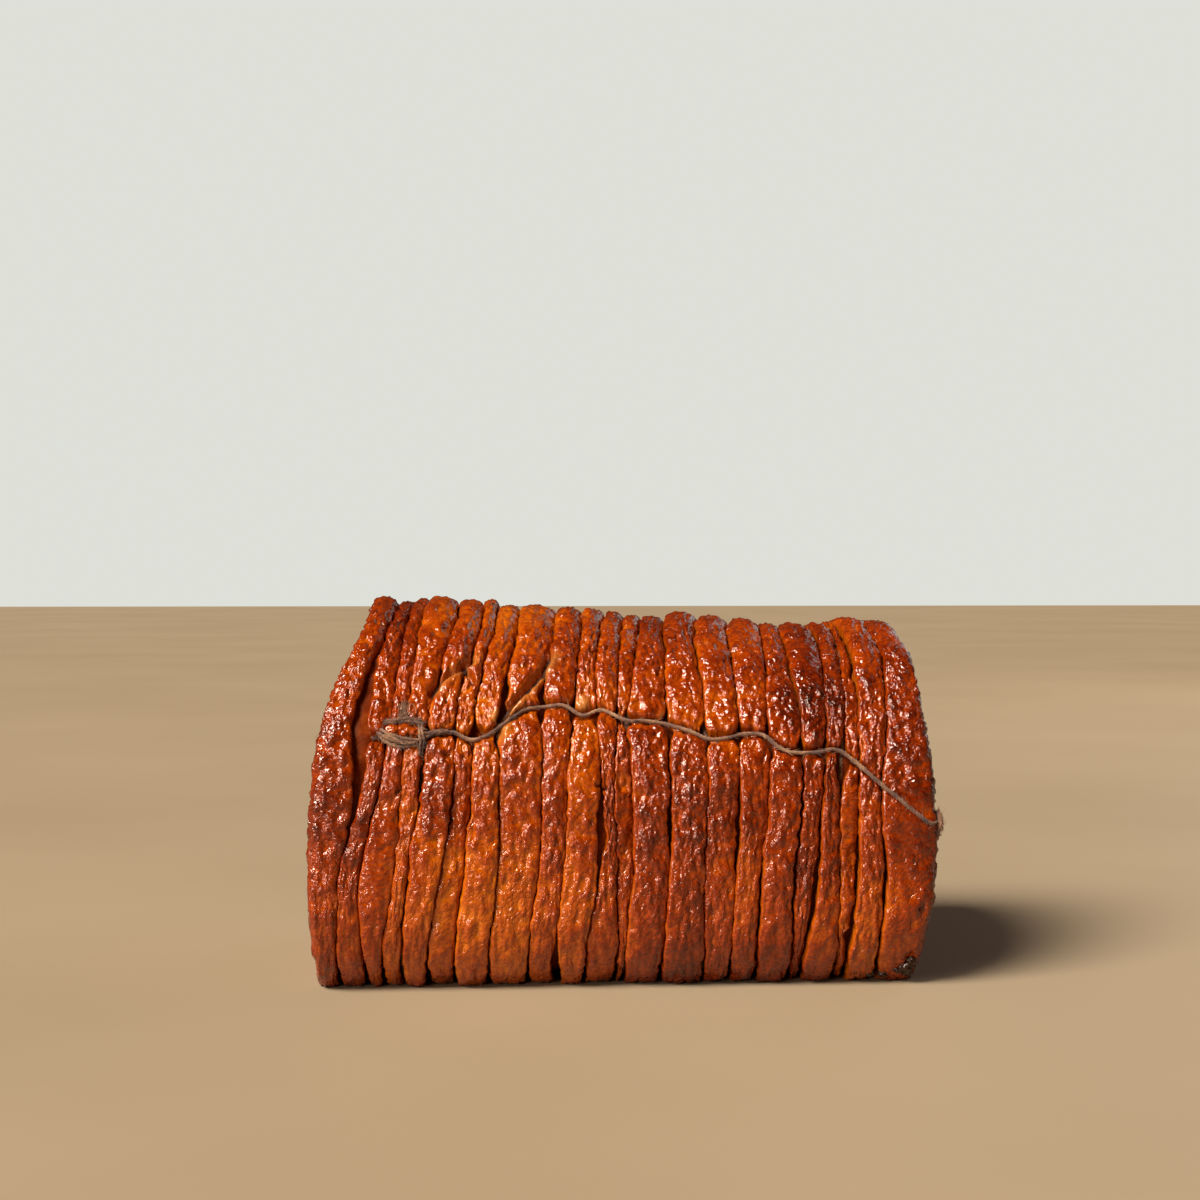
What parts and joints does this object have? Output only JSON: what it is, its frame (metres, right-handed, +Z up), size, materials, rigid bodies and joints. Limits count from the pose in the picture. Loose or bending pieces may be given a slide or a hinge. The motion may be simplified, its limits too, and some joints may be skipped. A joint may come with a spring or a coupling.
{
  "type": "rolled pork roast",
  "caption": "Whole rolled and tied pork roast with its rind scored into strips of blistered crackling, lying on its flattened side.",
  "frame": {"origin": "middle of the roast's footprint, on the surface it rests on", "axes": "+X along the roll, -Y the side with the knot, +Z up"},
  "size_m": [0.2314, 0.1464, 0.1418],
  "materials": {
    "crackling": "glossy, blistered",
    "twine": "matt"
  },
  "bodies": {
    "root": {"roast": "crackling", "long_twine": "twine", "tie_1": "twine", "tie_2": "twine", "tie_3": "twine", "tie_4": "twine", "tie_5": "twine"}
  },
  "joints": []
}
